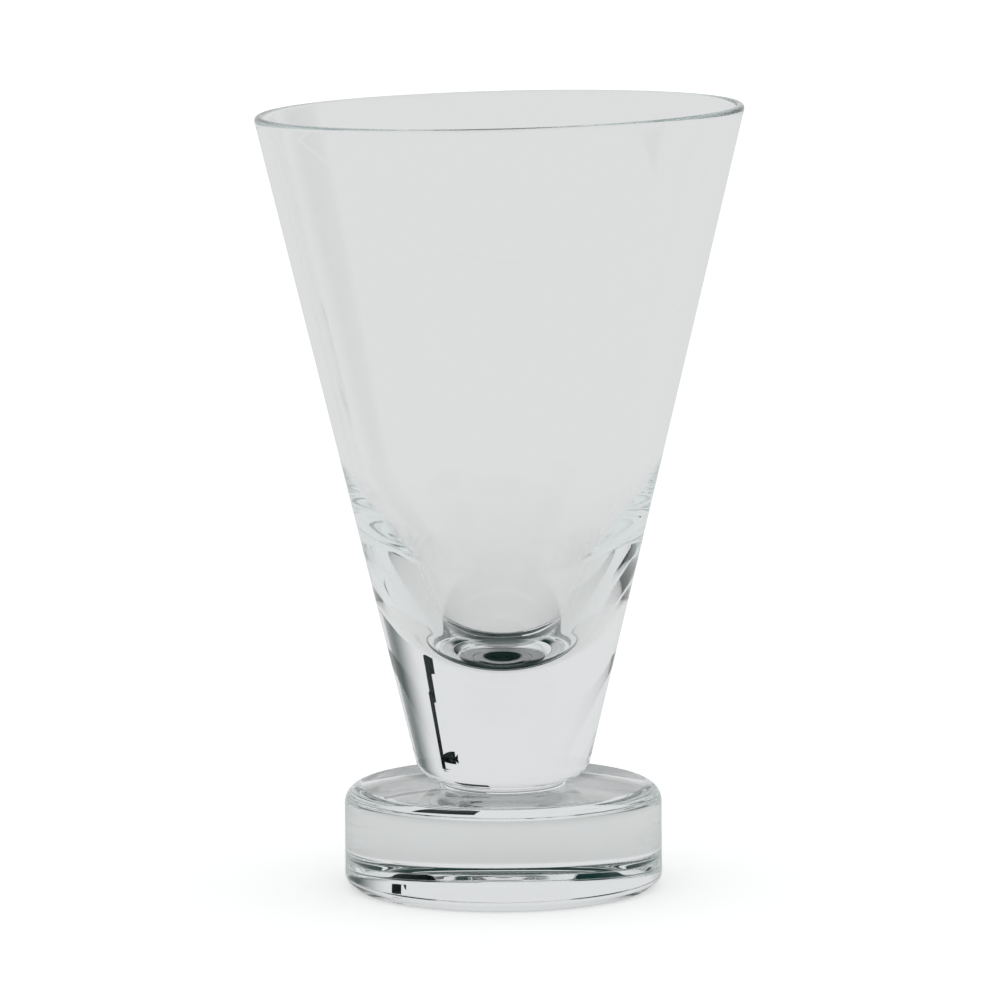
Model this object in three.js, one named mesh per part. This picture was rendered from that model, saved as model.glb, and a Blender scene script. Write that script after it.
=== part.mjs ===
// Port glass: a straight conical bowl with a solid base, standing on a thick round foot.
// The bowl is blown with its base left solid, the foot is a separate thick disc, and a thin
// wafer of hot glass joins the two. Each of the three is a solid of revolution about +Z.
// Millimetres, +Z up. The origin is the centre of the foot's underside.

import * as THREE from "three";

// Foot: a thick disc with a rounded top edge, and a ground bevel under it that fire-polishing softened.
const FOOT_DIAMETER = 42.8;
const FOOT_HEIGHT = 13.8;
const FOOT_TOP_ROUND = 2.4;
const FOOT_BEVEL_WIDTH = 1.5;
const FOOT_BEVEL_HEIGHT = 1.2;
const FOOT_BEVEL_ROUND = 1.2;
const FOOT_CREASE_ROUND = 0.3;

// Joining wafer: a short waisted button of glass between the foot and the bowl.
const WAFER_HEIGHT = 0.8;
const WAFER_SEAT_DIAMETER = 17;
const WAFER_WAIST_DIAMETER = 16.2;

// Bowl, outside: a cone from the base up to the rim.
const OVERALL_HEIGHT = 105;
const RIM_DIAMETER = 65.7;
const BASE_DIAMETER = 22.4;
const BASE_ROUND = 3.4;

// Bowl, inside: a thin even wall, a soft shoulder, a wider cone and a round floor over the solid base.
const WALL_THICKNESS = 1.2;
const SHOULDER_ROUND = 40;
const CAVITY_ANGLE = THREE.MathUtils.degToRad(30.3);
const FLOOR_ROUND = 11;
const FLOOR_HEIGHT = 30.8;

// The rim is cut by hand: its +X side stands this much higher than its -X side.
const RIM_RISE = 1.36;

// Facets: steps around the axis, along a rounded edge, along the round floor and up a straight wall.
const TURN_STEPS = 72;
const ROUND_STEPS = 6;
const FLOOR_STEPS = 12;
const WALL_STEPS = 6;

const QUARTER = Math.PI / 2;
const BOWL_BASE = FOOT_HEIGHT + WAFER_HEIGHT;

const clearGlass = new THREE.MeshStandardMaterial({
  color: 0xe9eeec,
  roughness: 0.03,
  metalness: 0,
  transparent: true,
  opacity: 0.35,
});

// Points of a circular arc in the profile plane, from one angle to another.
function arc(radius, centreR, centreZ, from, to, steps) {
  const clockwise = to < from;
  return new THREE.EllipseCurve(centreR, centreZ, radius, radius, from, to, clockwise).getPoints(steps);
}

// Points of a straight line in the profile plane.
function line(start, end, steps) {
  return new THREE.LineCurve(start, end).getPoints(steps);
}

// A solid of revolution about +Z from a profile of (radius, height) points that runs from the axis
// under the piece, up its outside and back to the axis.
function turned(name, profile) {
  const geometry = new THREE.LatheGeometry(profile, TURN_STEPS);
  geometry.rotateX(QUARTER);
  const mesh = new THREE.Mesh(geometry, clearGlass);
  mesh.name = name;
  return mesh;
}

// The foot's bottom edge: a small arc off the underside, the straight bevel and an arc into the side.
function bevelEdge(radius) {
  const slope = Math.atan2(FOOT_BEVEL_HEIGHT, FOOT_BEVEL_WIDTH);
  const creaseR = radius - FOOT_BEVEL_WIDTH - FOOT_CREASE_ROUND * Math.tan(slope / 2);
  const roundZ = FOOT_BEVEL_HEIGHT + FOOT_BEVEL_ROUND * Math.tan((QUARTER - slope) / 2);
  return [
    ...arc(FOOT_CREASE_ROUND, creaseR, FOOT_CREASE_ROUND, -QUARTER, slope - QUARTER, ROUND_STEPS),
    ...arc(FOOT_BEVEL_ROUND, radius - FOOT_BEVEL_ROUND, roundZ, slope - QUARTER, 0, ROUND_STEPS),
  ];
}

// The foot: flat underside, bevelled bottom edge, upright side, rounded top edge, flat top.
function makeFoot() {
  const radius = FOOT_DIAMETER / 2;
  const profile = [
    new THREE.Vector2(0, 0),
    ...bevelEdge(radius),
    ...arc(FOOT_TOP_ROUND, radius - FOOT_TOP_ROUND, FOOT_HEIGHT - FOOT_TOP_ROUND, 0, QUARTER, ROUND_STEPS),
    new THREE.Vector2(0, FOOT_HEIGHT),
  ];
  return turned("foot", profile);
}

// The joining wafer: flat seats above and below, and a side drawn in to a waist.
function makeWafer() {
  const seat = WAFER_SEAT_DIAMETER / 2;
  const waist = WAFER_WAIST_DIAMETER / 2;
  const side = new THREE.QuadraticBezierCurve(
    new THREE.Vector2(seat, FOOT_HEIGHT),
    new THREE.Vector2(2 * waist - seat, FOOT_HEIGHT + WAFER_HEIGHT / 2),
    new THREE.Vector2(seat, BOWL_BASE),
  );
  const profile = [
    new THREE.Vector2(0, FOOT_HEIGHT),
    ...side.getPoints(ROUND_STEPS),
    new THREE.Vector2(0, BOWL_BASE),
  ];
  return turned("neck_wafer", profile);
}

// Half angle of the cone's outside, from the upright.
const CONE_ANGLE = Math.atan2((RIM_DIAMETER - BASE_DIAMETER) / 2, OVERALL_HEIGHT - BOWL_BASE);

// Radius of the cone's outside at a height.
function outsideRadius(z) {
  return BASE_DIAMETER / 2 + (z - BOWL_BASE) * Math.tan(CONE_ANGLE);
}

// The bowl's base edge: an arc that leaves the flat base level and meets the cone's side.
function baseEdge() {
  const centreZ = BOWL_BASE + BASE_ROUND;
  const centreR = outsideRadius(centreZ) - BASE_ROUND / Math.cos(CONE_ANGLE);
  return arc(BASE_ROUND, centreR, centreZ, -QUARTER, -CONE_ANGLE, ROUND_STEPS);
}

// The lip: a half-round edge as wide as the wall.
function lipEdge() {
  const round = WALL_THICKNESS / 2;
  const centreZ = OVERALL_HEIGHT - round;
  const centreR = outsideRadius(centreZ) - round / Math.cos(CONE_ANGLE);
  return arc(round, centreR, centreZ, -CONE_ANGLE, Math.PI - CONE_ANGLE, ROUND_STEPS);
}

// Where the wall's inside, taken straight down, meets the wider cone above the floor.
function shoulderCorner() {
  const wallR = BASE_DIAMETER / 2 - WALL_THICKNESS / Math.cos(CONE_ANGLE);
  const coneR = FLOOR_ROUND / Math.cos(CAVITY_ANGLE);
  const coneZ = FLOOR_HEIGHT + FLOOR_ROUND;
  const wallSlope = Math.tan(CONE_ANGLE);
  const coneSlope = Math.tan(CAVITY_ANGLE);
  const z = (wallR - coneR - BOWL_BASE * wallSlope + coneZ * coneSlope) / (coneSlope - wallSlope);
  return new THREE.Vector2(wallR + (z - BOWL_BASE) * wallSlope, z);
}

// The cavity from the shoulder down to the axis: a soft arc, the wider cone and the round floor.
function cavityEdge() {
  const reach = SHOULDER_ROUND * Math.tan((CAVITY_ANGLE - CONE_ANGLE) / 2);
  const alongWall = new THREE.Vector2(Math.sin(CONE_ANGLE), Math.cos(CONE_ANGLE));
  const towardsAxis = new THREE.Vector2(-Math.cos(CONE_ANGLE), Math.sin(CONE_ANGLE));
  const centre = shoulderCorner()
    .addScaledVector(alongWall, reach)
    .addScaledVector(towardsAxis, SHOULDER_ROUND);
  const shoulder = arc(SHOULDER_ROUND, centre.x, centre.y, -CONE_ANGLE, -CAVITY_ANGLE, ROUND_STEPS);
  const floor = arc(FLOOR_ROUND, 0, FLOOR_HEIGHT + FLOOR_ROUND, -CAVITY_ANGLE, -QUARTER, FLOOR_STEPS);
  return [
    ...shoulder,
    ...line(shoulder.at(-1), floor[0], WALL_STEPS).slice(1, -1),
    ...floor.slice(0, -1),
    new THREE.Vector2(0, FLOOR_HEIGHT),
  ];
}

// Tilts the rim: lifts the +X side and lowers the -X side, from nothing at the floor to the whole at the rim.
function tiltRim(geometry) {
  const place = geometry.getAttribute("position");
  for (let i = 0; i < place.count; i++) {
    const share = THREE.MathUtils.clamp((place.getZ(i) - FLOOR_HEIGHT) / (OVERALL_HEIGHT - FLOOR_HEIGHT), 0, 1);
    place.setZ(i, place.getZ(i) + share * RIM_RISE * (place.getX(i) / RIM_DIAMETER));
  }
  geometry.computeVertexNormals();
}

// The bowl: flat base, rounded base edge, straight outside, lip, thin wall inside and cavity.
function makeBowl() {
  const base = baseEdge();
  const lip = lipEdge();
  const cavity = cavityEdge();
  const profile = [
    new THREE.Vector2(0, BOWL_BASE),
    ...base,
    ...line(base.at(-1), lip[0], WALL_STEPS).slice(1, -1),
    ...lip,
    ...line(lip.at(-1), cavity[0], WALL_STEPS).slice(1, -1),
    ...cavity,
  ];
  const bowl = turned("bowl", profile);
  tiltRim(bowl.geometry);
  return bowl;
}

const portGlass = new THREE.Group();
portGlass.name = "port_glass";
portGlass.add(makeFoot(), makeWafer(), makeBowl());

export default portGlass;
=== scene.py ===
"""Looks of the port glass: a blown conical bowl, the wafer that joins it and a thick disc foot.

Each piece is one smooth turned surface in the frame of the solid that it stands for, and all three wear
the same clear glass. Sizes are in millimetres here and turn to metres where a mesh is made.
"""

import logging
import math
from abc import ABC, abstractmethod
from dataclasses import dataclass, field
from enum import Enum

import bpy
import numpy as np
from mathutils import Matrix, Vector


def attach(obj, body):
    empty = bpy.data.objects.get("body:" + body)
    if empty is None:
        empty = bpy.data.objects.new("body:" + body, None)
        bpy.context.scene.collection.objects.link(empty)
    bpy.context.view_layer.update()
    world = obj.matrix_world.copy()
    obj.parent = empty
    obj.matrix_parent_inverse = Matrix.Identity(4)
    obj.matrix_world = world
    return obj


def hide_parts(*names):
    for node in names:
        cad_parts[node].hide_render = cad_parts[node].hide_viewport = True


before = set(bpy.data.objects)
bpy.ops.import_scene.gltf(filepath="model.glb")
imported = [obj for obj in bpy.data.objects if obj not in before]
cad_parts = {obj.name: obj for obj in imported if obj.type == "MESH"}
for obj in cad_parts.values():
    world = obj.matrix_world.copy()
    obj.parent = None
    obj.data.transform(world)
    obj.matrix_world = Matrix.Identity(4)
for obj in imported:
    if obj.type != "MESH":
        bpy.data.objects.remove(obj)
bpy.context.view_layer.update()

MM = 0.001
QUARTER = math.pi / 2

# Steps around the axis, and the bend past which an edge between two faces stays sharp.
TURN_STEPS = 336
SHARP_ANGLE = math.radians(50)

# Millimetres: what counts as touching, the hairline gap at a joint and the floor's drop under the foot.
TOUCH = 1e-6
JOINT_GAP = 0.01
FLOOR_DROP = 0.02

# Millimetres from the axis to a studio card, as a rule and for the cards of the stick.
CARD_DISTANCE = 900.0
STICK_DISTANCE = 450.0

# How often light may turn in the glass, and how many clear surfaces it may cross.
GLASS_BOUNCES = 256
CLEAR_BOUNCES = 64

# Mesh attributes: whether a face lies in a joint, and how well a card covers what is behind it.
FUSED = "fused"
COVER = "cover"

log = logging.getLogger("port_glass")


def linear(colour: str) -> tuple[float, float, float, float]:
    """Turns an sRGB hex colour to linear light.

    Args:
        colour: the colour as "#rrggbb".

    Returns:
        Linear red, green, blue and an alpha of 1.
    """
    srgb = np.array([int(colour[i:i + 2], 16) for i in (1, 3, 5)]) / 255
    low, high = srgb / 12.92, ((srgb + 0.055) / 1.055) ** 2.4
    red, green, blue = np.where(srgb <= 0.04045, low, high).tolist()
    return red, green, blue, 1.0


def add_node(
    tree: bpy.types.NodeTree, kind: str, inputs: dict[str | int, object] | None = None, **settings: object,
) -> bpy.types.Node:
    """Adds a node, sets its properties and fills its sockets.

    Args:
        tree: the node tree that gets the node.
        kind: the node's Blender type.
        inputs: socket names or numbers with a value, or with the output socket to link from.
        settings: the node's own properties.

    Returns:
        The new node.
    """
    node = tree.nodes.new(kind)
    for name, value in settings.items():
        setattr(node, name, value)
    for name, value in (inputs or {}).items():
        if isinstance(value, bpy.types.NodeSocket):
            tree.links.new(value, node.inputs[name])
        else:
            node.inputs[name].default_value = value
    return node


def empty_tree(owner: bpy.types.Material | bpy.types.World) -> bpy.types.NodeTree:
    """Gives a material or world an empty node tree.

    Args:
        owner: the material or world.

    Returns:
        Its node tree, with no nodes.
    """
    owner.use_nodes = True
    owner.node_tree.nodes.clear()
    return owner.node_tree


def arc(radius: float, centre: tuple[float, float], start: float, stop: float, steps: int) -> np.ndarray:
    """Points of a circular arc in the profile plane: centre plus radius times cosine and sine of the angle.

    Args:
        radius: the arc's radius.
        centre: its centre as radius and height.
        start: the first angle, from the outward direction.
        stop: the last angle.
        steps: how many steps lie between them.

    Returns:
        Rows of radius and height.
    """
    angle = np.linspace(start, stop, steps + 1)
    return np.stack([centre[0] + radius * np.cos(angle), centre[1] + radius * np.sin(angle)], axis=1)


def straight(start: np.ndarray, stop: np.ndarray, steps: int) -> np.ndarray:
    """Points of a straight line between two profile points, without its two ends.

    Args:
        start: the first end as radius and height.
        stop: the other end.
        steps: how many steps lie between them.

    Returns:
        Rows of radius and height.
    """
    share = np.linspace(0, 1, steps + 1)[1:-1, None]
    return (1 - share) * start + share * stop


def turned_mesh(name: str, profile: np.ndarray, fused: np.ndarray) -> bpy.types.Mesh:
    """Turns a profile about the upright axis.

    A point at angle t stands at (radius cos t, radius sin t, height). The profile starts on the axis under
    the piece, runs up its outside and ends on the axis, so two fans of triangles close the poles.

    Args:
        name: the mesh's name.
        profile: rows of radius and height in millimetres, of which the first and last are on the axis.
        fused: for each step of the profile, whether it lies in a joint where the glass is one.

    Returns:
        The closed mesh in metres, with its faces outward and the joints marked.
    """
    angle = np.arange(TURN_STEPS) * (2 * math.pi / TURN_STEPS)
    radius, height = profile[1:-1, 0, None] * MM, profile[1:-1, 1, None] * MM
    rings = np.stack([radius * np.cos(angle), radius * np.sin(angle), height + 0 * angle], axis=-1)
    poles = np.array([[0, 0, profile[0, 1] * MM], [0, 0, profile[-1, 1] * MM]])
    points = np.concatenate([rings.reshape(-1, 3), poles])
    here = np.arange(TURN_STEPS)
    after = (here + 1) % TURN_STEPS
    low = np.arange(len(rings) - 1)[:, None] * TURN_STEPS
    high = low + TURN_STEPS
    quads = np.stack([low + here, low + after, high + after, high + here], axis=-1).reshape(-1, 4)
    top = (len(rings) - 1) * TURN_STEPS
    first, last = len(points) - 2, len(points) - 1
    under = np.stack([np.full(TURN_STEPS, first), after, here], axis=-1)
    over = np.stack([top + here, top + after, np.full(TURN_STEPS, last)], axis=-1)
    mesh = bpy.data.meshes.new(name)
    mesh.from_pydata(points.tolist(), [], quads.tolist() + under.tolist() + over.tolist())
    marks = np.concatenate([np.repeat(fused[1:-1], TURN_STEPS), np.repeat(fused[[0, -1]], TURN_STEPS)])
    mesh.attributes.new(FUSED, "FLOAT", "FACE").data.foreach_set("value", marks.astype(np.float32))
    mesh.polygons.foreach_set("use_smooth", np.ones(len(mesh.polygons), dtype=bool))
    mesh.set_sharp_from_angle(angle=SHARP_ANGLE)
    mesh.update()
    return mesh


@dataclass(frozen=True)
class ClearGlass:
    """Clear soda-lime glass, blown and fire-polished.

    It gives the eye a hard bright surface with no grain, clear in the thin wall and faintly green where a
    look runs through centimetres of it. The three pieces are fused while hot, so light crosses their joints
    without bending: there, and only there, the index falls to 1, that of the hairline gap between them.
    The surface's mirror light is dimmed by a grey-green tint that plain glass does not have: painted shade
    in the reflections, which keeps the dark lines in the glass dark.
    """

    name: str = "fire_polished_soda_lime_glass"
    body: str = "#ffffff"
    index: float = 1.5
    roughness: float = 0.0
    # Painted shade: a dark grey-green tint on the surface's mirror light, darker than plain glass gives.
    dimmed_reflection_tint: str = "#8a9a98"
    tint: str = "#dcecea"
    tint_density: float = 3.0

    def material(self) -> bpy.types.Material:
        """Makes the glass material.

        Returns:
            The material, with a plain surface and a plain absorbing inside.
        """
        made = bpy.data.materials.new(self.name)
        tree = empty_tree(made)
        joint = add_node(tree, "ShaderNodeAttribute", attribute_name=FUSED)
        index = add_node(
            tree, "ShaderNodeMapRange",
            {"Value": joint.outputs["Fac"], "To Min": self.index, "To Max": 1.0},
        )
        surface = add_node(tree, "ShaderNodeBsdfPrincipled", {
            "Base Color": linear(self.body),
            "Roughness": self.roughness,
            "IOR": index.outputs["Result"],
            "Transmission Weight": 1.0,
            # Painted shade: this tint dims the surface's reflections.
            "Specular Tint": linear(self.dimmed_reflection_tint),
        })
        inside = add_node(
            tree, "ShaderNodeVolumeAbsorption",
            {"Color": linear(self.tint), "Density": self.tint_density},
        )
        add_node(tree, "ShaderNodeOutputMaterial", {
            "Surface": surface.outputs["BSDF"],
            "Volume": inside.outputs["Volume"],
        })
        return made


@dataclass
class TurnedPiece(ABC):
    """A piece of the glass that is turned about the upright axis."""

    node: str = ""
    seat_steps: int = 8

    @abstractmethod
    def profile(self) -> np.ndarray:
        """Returns the piece's outline as rows of radius and height."""

    @abstractmethod
    def joints(self) -> list[float]:
        """Returns the heights at which the piece is fused to its neighbours."""

    def seat(self) -> float:
        """Returns the radius of the piece's joints."""
        return NeckWafer.seat_diameter / 2

    def shape(self, mesh: bpy.types.Mesh) -> None:
        """Works the turned mesh further, where the piece needs it."""

    def build(self, glass: bpy.types.Material) -> bpy.types.Object:
        """Turns the piece and puts it in the frame in place of its solid.

        Args:
            glass: the material it wears.

        Returns:
            The finished piece.
        """
        profile = self.profile()
        ends = np.stack([profile[:-1], profile[1:]])
        flat = np.any([np.all(np.abs(ends[..., 1] - z) < TOUCH, axis=0) for z in self.joints()], axis=0)
        fused = flat & np.all(ends[..., 0] <= self.seat() + TOUCH, axis=0)
        mesh = turned_mesh(self.node + "_glass", profile, fused)
        self.shape(mesh)
        mesh.materials.append(glass)
        piece = bpy.data.objects.new(self.node + "_glass", mesh)
        bpy.context.scene.collection.objects.link(piece)
        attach(piece, "root")
        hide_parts(self.node)
        return piece


@dataclass
class Foot(TurnedPiece):
    """The thick disc that the glass stands on, with a rounded top edge and a softened bevel under it."""

    node: str = "foot"
    diameter: float = 42.8
    height: float = 13.8
    top_round: float = 2.4
    bevel_width: float = 1.5
    bevel_height: float = 1.2
    bevel_round: float = 1.2
    crease_round: float = 0.3
    round_steps: int = 28
    bevel_steps: int = 8
    under_steps: int = 10
    side_steps: int = 12

    def joints(self) -> list[float]:
        """The foot is fused to the wafer at its top."""
        return [self.height]

    def bottom_edge(self) -> np.ndarray:
        """A small arc off the underside, the straight bevel and an arc into the side.

        Returns:
            Rows of radius and height.
        """
        radius, slope = self.diameter / 2, math.atan2(self.bevel_height, self.bevel_width)
        low = (radius - self.bevel_width - self.crease_round * math.tan(slope / 2), self.crease_round)
        rise = self.bevel_round * math.tan((QUARTER - slope) / 2)
        high = (radius - self.bevel_round, self.bevel_height + rise)
        crease = arc(self.crease_round, low, -QUARTER, slope - QUARTER, self.round_steps // 2)
        side = arc(self.bevel_round, high, slope - QUARTER, 0, self.round_steps)
        return np.concatenate([crease, straight(crease[-1], side[0], self.bevel_steps), side])

    def profile(self) -> np.ndarray:
        """Flat underside, bevelled bottom edge, upright side, round top edge and flat top.

        Returns:
            Rows of radius and height.
        """
        radius = self.diameter / 2
        high = (radius - self.top_round, self.height - self.top_round)
        bottom = self.bottom_edge()
        top = arc(self.top_round, high, 0, QUARTER, self.round_steps)
        seat = np.array([self.seat(), self.height])
        under, over = np.zeros(2), np.array([0, self.height])
        return np.concatenate([
            [under], straight(under, bottom[0], self.under_steps), bottom,
            straight(bottom[-1], top[0], self.side_steps), top,
            straight(top[-1], seat, self.side_steps), [seat], straight(seat, over, self.seat_steps), [over],
        ])


@dataclass
class NeckWafer(TurnedPiece):
    """The thin button of glass between the foot and the bowl, drawn in to a waist."""

    node: str = "neck_wafer"
    height: float = 0.8
    seat_diameter: float = 17.0
    waist_diameter: float = 16.2
    side_steps: int = 24

    def joints(self) -> list[float]:
        """The wafer is fused to both of its neighbours."""
        return [Foot.height + JOINT_GAP, Foot.height + self.height - JOINT_GAP]

    def profile(self) -> np.ndarray:
        """Two flat seats, and a side that follows a parabola in to the waist and out again.

        Returns:
            Rows of radius and height.
        """
        low, high = self.joints()
        share = np.linspace(-1, 1, self.side_steps + 1)
        waist, seat = self.waist_diameter / 2, self.seat_diameter / 2
        radius = waist + (seat - waist) * share ** 2
        side = np.stack([radius, (low + high) / 2 + share * (high - low) / 2], axis=1)
        under, over = np.array([0, low]), np.array([0, high])
        return np.concatenate([
            [under], straight(under, side[0], self.seat_steps), side,
            straight(side[-1], over, self.seat_steps), [over],
        ])


@dataclass
class Bowl(TurnedPiece):
    """The blown cone: a solid base, a round floor, a wider cone, a soft shoulder and a thin wall."""

    node: str = "bowl"
    overall_height: float = 105.0
    rim_diameter: float = 65.7
    base_diameter: float = 22.4
    base_round: float = 3.4
    wall: float = 1.2
    shoulder_round: float = 40.0
    cavity_angle: float = math.radians(30.3)
    floor_round: float = 11.0
    floor_height: float = 30.8
    rim_rise: float = 1.36
    round_steps: int = 28
    floor_steps: int = 48
    cone_steps: int = 24
    outside_steps: int = 72
    inside_steps: int = 48

    @property
    def base(self) -> float:
        """The height of the bowl's flat base."""
        return Foot.height + NeckWafer.height

    @property
    def cone_angle(self) -> float:
        """The half angle of the outside, from the upright."""
        return math.atan2((self.rim_diameter - self.base_diameter) / 2, self.overall_height - self.base)

    def outside(self, z: float) -> float:
        """The radius of the cone's outside at a height."""
        return self.base_diameter / 2 + (z - self.base) * math.tan(self.cone_angle)

    def joints(self) -> list[float]:
        """The bowl is fused to the wafer at its base."""
        return [self.base]

    def base_edge(self) -> np.ndarray:
        """An arc that leaves the flat base level and meets the cone's side.

        Returns:
            Rows of radius and height.
        """
        z = self.base + self.base_round
        centre = (self.outside(z) - self.base_round / math.cos(self.cone_angle), z)
        return arc(self.base_round, centre, -QUARTER, -self.cone_angle, self.round_steps)

    def lip(self) -> np.ndarray:
        """A half-round edge as wide as the wall.

        Returns:
            Rows of radius and height.
        """
        half = self.wall / 2
        z = self.overall_height - half
        centre = (self.outside(z) - half / math.cos(self.cone_angle), z)
        return arc(half, centre, -self.cone_angle, math.pi - self.cone_angle, self.round_steps)

    def cavity(self) -> np.ndarray:
        """The shoulder's arc, the wider cone and the round floor, down to the axis.

        Returns:
            Rows of radius and height.
        """
        angle, wide = self.cone_angle, self.cavity_angle
        wall = self.base_diameter / 2 - self.wall / math.cos(angle)
        cone = self.floor_round / math.cos(wide)
        cone_z = self.floor_height + self.floor_round
        slope, wide_slope = math.tan(angle), math.tan(wide)
        z = (wall - cone - self.base * slope + cone_z * wide_slope) / (wide_slope - slope)
        corner = np.array([wall + (z - self.base) * slope, z])
        reach = self.shoulder_round * math.tan((wide - angle) / 2)
        along = np.array([math.sin(angle), math.cos(angle)])
        inward = np.array([-math.cos(angle), math.sin(angle)])
        centre = corner + reach * along + self.shoulder_round * inward
        shoulder = arc(self.shoulder_round, tuple(centre), -angle, -wide, self.round_steps)
        floor = arc(self.floor_round, (0, cone_z), -wide, -QUARTER, self.floor_steps)
        floor[-1, 0] = 0
        return np.concatenate([shoulder, straight(shoulder[-1], floor[0], self.cone_steps), floor])

    def profile(self) -> np.ndarray:
        """Flat base, round base edge, straight outside, lip, thin wall and cavity.

        Returns:
            Rows of radius and height.
        """
        edge, lip, cavity = self.base_edge(), self.lip(), self.cavity()
        axis, seat = np.array([0, self.base]), np.array([self.seat(), self.base])
        return np.concatenate([
            [axis], straight(axis, seat, self.seat_steps), [seat],
            edge, straight(edge[-1], lip[0], self.outside_steps),
            lip, straight(lip[-1], cavity[0], self.inside_steps), cavity,
        ])

    def shape(self, mesh: bpy.types.Mesh) -> None:
        """Tilts the rim.

        A point is lifted by the rim's rise times its x over the rim's diameter, times a share that grows
        from nothing at the floor to the whole at the rim.

        Args:
            mesh: the turned bowl, in metres.
        """
        flat = np.empty(3 * len(mesh.vertices))
        mesh.vertices.foreach_get("co", flat)
        point = flat.reshape(-1, 3)
        share = (point[:, 2] / MM - self.floor_height) / (self.overall_height - self.floor_height)
        point[:, 2] += np.clip(share, 0, 1) * self.rim_rise * point[:, 0] / self.rim_diameter
        mesh.vertices.foreach_set("co", point.ravel())
        mesh.update()


class CardTone(Enum):
    """What a studio card sends back."""

    BLACK = "#060c0b"
    TEAL = "#173330"
    PALE = "#d8dada"


@dataclass
class StudioCard:
    """A card of a studio set, bent round the glass: a patch of a cylinder about the upright axis.

    Bearings are in degrees from straight behind the glass, with right positive. Heights are in millimetres
    above the floor, and the slope lifts them by so much for each degree. The fades are the widths of the
    soft edges at the first bearing, the last bearing, the low end and the high end.
    """

    name: str
    tone: CardTone
    bearing: tuple[float, float]
    height: tuple[float, float]
    distance: float = CARD_DISTANCE
    slope: float = 0.0
    fades: tuple[float, float, float, float] = (0.0, 0.0, 0.0, 0.0)
    steps: int = 48

    def build(self) -> bpy.types.Object:
        """Makes the card: distance times the sine and cosine of the bearing, at each height.

        Over a soft edge the card's cover grows with the share s of the fade as three s squared less two
        s cubed, and the covers of the four edges are multiplied.

        Returns:
            The card, which only the glass sees.
        """
        across, up = np.meshgrid(np.linspace(0, 1, self.steps + 1), np.linspace(0, 1, self.steps + 1))
        width, tall = self.bearing[1] - self.bearing[0], self.height[1] - self.height[0]
        bearing = np.radians(self.bearing[0] + width * across)
        height = self.height[0] + tall * up + self.slope * width * across
        reach = np.full_like(bearing, self.distance)
        point = MM * np.stack([reach * np.sin(bearing), reach * np.cos(bearing), height], axis=-1)
        inward = np.stack([width * across, width * (1 - across), tall * up, tall * (1 - up)])
        fades = np.maximum(np.array(self.fades), TOUCH)[:, None, None]
        share = np.clip((inward + TOUCH) / fades, 0, 1)
        cover = np.prod(share ** 2 * (3 - 2 * share), axis=0)
        corner = np.arange(self.steps)[:, None] * (self.steps + 1) + np.arange(self.steps)
        faces = np.stack([corner, corner + 1, corner + self.steps + 2, corner + self.steps + 1], axis=-1)
        mesh = bpy.data.meshes.new(self.name)
        mesh.from_pydata(point.reshape(-1, 3).tolist(), [], faces.reshape(-1, 4).tolist())
        marks = mesh.attributes.new(COVER, "FLOAT", "POINT")
        marks.data.foreach_set("value", cover.ravel().astype(np.float32))
        mesh.materials.append(self.paper())
        card = bpy.data.objects.new(self.name, mesh)
        card.visible_camera = card.visible_diffuse = card.visible_shadow = False
        bpy.context.scene.collection.objects.link(card)
        return card

    def paper(self) -> bpy.types.Material:
        """Makes the card's paper, which fades to clear over a soft edge.

        Returns:
            The paper.
        """
        made = bpy.data.materials.new(self.name + "_paper")
        tree = empty_tree(made)
        cover = add_node(tree, "ShaderNodeAttribute", attribute_name=COVER)
        clear = add_node(tree, "ShaderNodeBsdfTransparent")
        paper = add_node(tree, "ShaderNodeEmission", {"Color": linear(self.tone.value), "Strength": 1.0})
        mixed = add_node(tree, "ShaderNodeMixShader", {
            0: cover.outputs["Fac"], 1: clear.outputs["BSDF"], 2: paper.outputs["Emission"],
        })
        add_node(tree, "ShaderNodeOutputMaterial", {"Surface": mixed.outputs["Shader"]})
        return made


def far_height(rise: float) -> float:
    """The height at a card's usual distance of a direction that rises by so many degrees."""
    return CARD_DISTANCE * math.tan(math.radians(rise))


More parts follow.
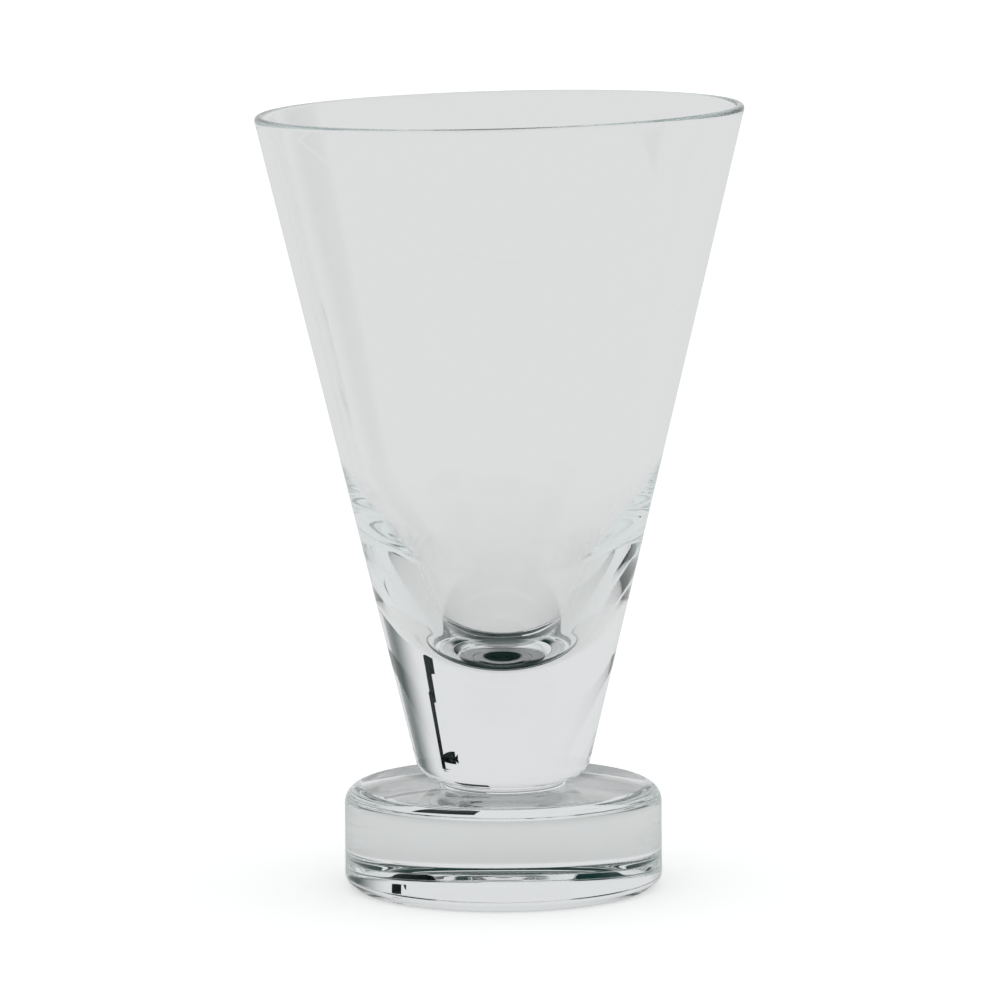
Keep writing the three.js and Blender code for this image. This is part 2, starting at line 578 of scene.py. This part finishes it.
@dataclass
class Studio:
    """A white tent: a pale sweep under the glass, even light all round and a few dark cards.

    The shades are shadows painted on the sweep that the glass sees, in millimetres: a contact shadow under
    the neck, a ring of shadow under the far side of the foot's edge and a patch of shadow in front of the
    foot. The spot under the neck and the patch in front each have a radius where the shade is whole and one
    where it ends. The ring under the edge begins and is whole at its first two radii, and thins and ends at
    its last two. The sector holds the cosines of the bearings from straight behind at which the ring ends
    and is whole.

    The flags, wing and low cards give the thick glass its dark places. The cards of the stick make up one
    thin dark stick, which the solid base shows as a line.
    """

    tent: str = "#e0e1e2"
    backdrop: str = "#ffffff"
    sweep: str = "#fbfbfa"
    sweep_lift: float = 0.36
    sweep_reach: float = 4000.0
    # Painted shadow: the colour of the shadows painted on the sweep, which only the glass sees.
    shade: str = "#1b3a35"
    neck_shade: tuple[float, float] = (7.5, 9.5)
    edge_shade: tuple[float, float, float, float] = (12.0, 13.5, 22.5, 26.0)
    edge_sector: tuple[float, float] = (0.74, 0.88)
    front_shade: tuple[float, float] = (36.0, 52.0)
    front_place: tuple[float, float, float] = (8.0, -55.0, 0.0)
    cards: list[StudioCard] = field(default_factory=lambda: [
        StudioCard("right_flag", CardTone.BLACK, (104, 140), (far_height(32), far_height(62))),
        StudioCard("top_flag", CardTone.BLACK, (58, 104), (far_height(50), far_height(77))),
        StudioCard("camera_side_low", CardTone.BLACK, (128, 196), (far_height(-1), far_height(15))),
        StudioCard("left_flag", CardTone.TEAL, (226, 254), (far_height(28), far_height(58))),
        StudioCard("right_low_card", CardTone.BLACK, (97, 116), (0, 26), distance=240.0),
        StudioCard("back_card", CardTone.BLACK, (8, 30), (far_height(35), far_height(50))),
        StudioCard(
            "right_wing", CardTone.TEAL, (34, 78), (130, 1400), distance=2000.0, fades=(26, 6, 260, 300),
        ),
        StudioCard("stick_head", CardTone.BLACK, (25.7, 30.7), (85.0, 89.3), STICK_DISTANCE, slope=1.27),
        StudioCard("stick_neck", CardTone.BLACK, (27.6, 30.8), (81.5, 87.6), STICK_DISTANCE, slope=1.26),
        StudioCard("stick_stem", CardTone.BLACK, (28.9, 31.6), (69.3, 85.6), STICK_DISTANCE, slope=1.27),
        StudioCard("stick_foot", CardTone.BLACK, (21.4, 31.5), (61.7, 64.2), STICK_DISTANCE, slope=1.1),
        StudioCard("stick_base", CardTone.BLACK, (20.0, 28.2), (61.4, 62.3), STICK_DISTANCE, slope=0.56),
        StudioCard("stick_eye", CardTone.PALE, (24.9, 26.3), (64.2, 65.3), STICK_DISTANCE - 1, slope=1.2),
    ])

    def light(self) -> None:
        """Lights the tent evenly, and shows white straight to the camera."""
        world = bpy.data.worlds.new("white_tent")
        bpy.context.scene.world = world
        tree = empty_tree(world)
        path = add_node(tree, "ShaderNodeLightPath")
        tent = add_node(tree, "ShaderNodeBackground", {"Color": linear(self.tent), "Strength": 1.0})
        white = add_node(tree, "ShaderNodeBackground", {"Color": linear(self.backdrop), "Strength": 1.0})
        mixed = add_node(tree, "ShaderNodeMixShader", {
            0: path.outputs["Is Camera Ray"],
            1: tent.outputs["Background"],
            2: white.outputs["Background"],
        })
        add_node(tree, "ShaderNodeOutputWorld", {"Surface": mixed.outputs["Shader"]})

    def painted_shadows(self, tree: bpy.types.NodeTree) -> bpy.types.NodeSocket:
        """Adds the nodes for the shadows painted on the sweep, which the glass sees.

        A painted contact shadow lies under the neck, a painted ring of shadow under the far side of the
        foot's edge and a painted patch of shadow in front of the foot.

        Args:
            tree: the sweep's node tree.

        Returns:
            The share of the sweep's plain colour left at each place; the rest is painted shadow.
        """
        place = add_node(tree, "ShaderNodeTexCoord").outputs["Object"]
        centre = add_node(tree, "ShaderNodeVectorMath", {0: place}, operation="LENGTH").outputs["Value"]
        front = add_node(tree, "ShaderNodeVectorMath", {
            0: place, 1: Vector(self.front_place) * MM,
        }, operation="DISTANCE").outputs["Value"]
        back = add_node(tree, "ShaderNodeVectorMath", {0: place}, operation="NORMALIZE").outputs["Vector"]
        sector = add_node(tree, "ShaderNodeSeparateXYZ", {0: back}).outputs["Y"]
        inner, outer, edge, clear = (size * MM for size in self.edge_shade)
        # Each range gives the share left outside one painted shadow, and they are joined below.
        light = [
            add_node(tree, "ShaderNodeMapRange", {
                "Value": away, "From Min": start, "From Max": stop, "To Min": low, "To Max": 1.0 - low,
            }, interpolation_type="SMOOTHSTEP").outputs["Result"]
            for away, start, stop, low in (
                (centre, inner, outer, 1.0),
                (centre, edge, clear, 0.0),
                (sector, *self.edge_sector, 1.0),
                (centre, self.neck_shade[0] * MM, self.neck_shade[1] * MM, 0.0),
                (front, self.front_shade[0] * MM, self.front_shade[1] * MM, 0.0),
            )
        ]
        left = light[0]
        for kind, other in zip(("MAXIMUM", "MAXIMUM", "MULTIPLY", "MULTIPLY"), light[1:]):
            left = add_node(tree, "ShaderNodeMath", {0: left, 1: other}, operation=kind).outputs["Value"]
        return left

    def floor(self) -> bpy.types.Object:
        """Lays the pale sweep just under the foot.

        The glass sees shadows painted on it round the foot. The camera alone sees it plain and lifted to
        white.

        Returns:
            The sweep.
        """
        half, z = self.sweep_reach * MM, -FLOOR_DROP * MM
        mesh = bpy.data.meshes.new("sweep")
        corners = [(-half, -half, z), (half, -half, z), (half, half, z), (-half, half, z)]
        mesh.from_pydata(corners, [], [(0, 1, 2, 3)])
        made = bpy.data.materials.new("white_paper_with_painted_shadows")
        tree = empty_tree(made)
        seen = add_node(tree, "ShaderNodeLightPath").outputs["Is Camera Ray"]
        plain = add_node(tree, "ShaderNodeMath", {0: self.painted_shadows(tree), 1: seen}, operation="MAXIMUM")
        # Painted shadow: the shade colour is mixed into the paper wherever the glass sees it, never for the
        # camera.
        colour = add_node(tree, "ShaderNodeMix", {
            0: plain.outputs["Value"], 6: linear(self.shade), 7: linear(self.sweep),
        }, data_type="RGBA")
        paper = add_node(tree, "ShaderNodeBsdfDiffuse", {"Color": colour.outputs[2]})
        lift = add_node(tree, "ShaderNodeMath", {0: seen, 1: self.sweep_lift}, operation="MULTIPLY")
        glow = add_node(tree, "ShaderNodeEmission", {"Strength": lift.outputs["Value"]})
        both = add_node(tree, "ShaderNodeAddShader", {0: paper.outputs["BSDF"], 1: glow.outputs["Emission"]})
        add_node(tree, "ShaderNodeOutputMaterial", {"Surface": both.outputs["Shader"]})
        mesh.materials.append(made)
        sweep = bpy.data.objects.new("sweep", mesh)
        bpy.context.scene.collection.objects.link(sweep)
        return sweep

    def build(self) -> None:
        """Sets up the light, the floor and the cards."""
        self.light()
        self.floor()
        for card in self.cards:
            card.build()
            log.info("card %s", card.name)


@dataclass
class PhotoCamera:
    """The camera at the photograph's viewing angle, a little above the rim and far away."""

    aim: tuple[float, float, float] = (-0.2, -0.35, 52.43)
    rise: float = math.radians(7.66)
    distance: float = 950.0
    lens: float = 254.65
    roll: float = math.radians(-0.34)

    def build(self) -> bpy.types.Object:
        """Places the camera on the glass's front side and aims it.

        Returns:
            The scene's camera.
        """
        target = Vector(self.aim) * MM
        back = Vector((0, -math.cos(self.rise), math.sin(self.rise)))
        data = bpy.data.cameras.new("photo_camera")
        data.lens = self.lens
        camera = bpy.data.objects.new("photo_camera", data)
        turn = back.to_track_quat("Z", "Y").to_matrix().to_4x4() @ Matrix.Rotation(self.roll, 4, "Z")
        camera.matrix_world = Matrix.Translation(target + back * (self.distance * MM)) @ turn
        bpy.context.scene.collection.objects.link(camera)
        bpy.context.scene.camera = camera
        return camera


def main() -> None:
    """Builds the glass, the studio and the camera."""
    logging.basicConfig(level=logging.INFO, format="%(name)s: %(message)s")
    glass = ClearGlass().material()
    for piece in (Foot(), NeckWafer(), Bowl()):
        made = piece.build(glass)
        log.info("piece %s: %d faces", made.name, len(made.data.polygons))
    Studio().build()
    PhotoCamera().build()
    scene = bpy.context.scene
    scene.view_settings.view_transform = "Standard"
    scene.cycles.max_bounces = GLASS_BOUNCES
    scene.cycles.transmission_bounces = GLASS_BOUNCES
    scene.cycles.glossy_bounces = GLASS_BOUNCES
    scene.cycles.transparent_max_bounces = CLEAR_BOUNCES


if __name__ == "__main__":
    main()
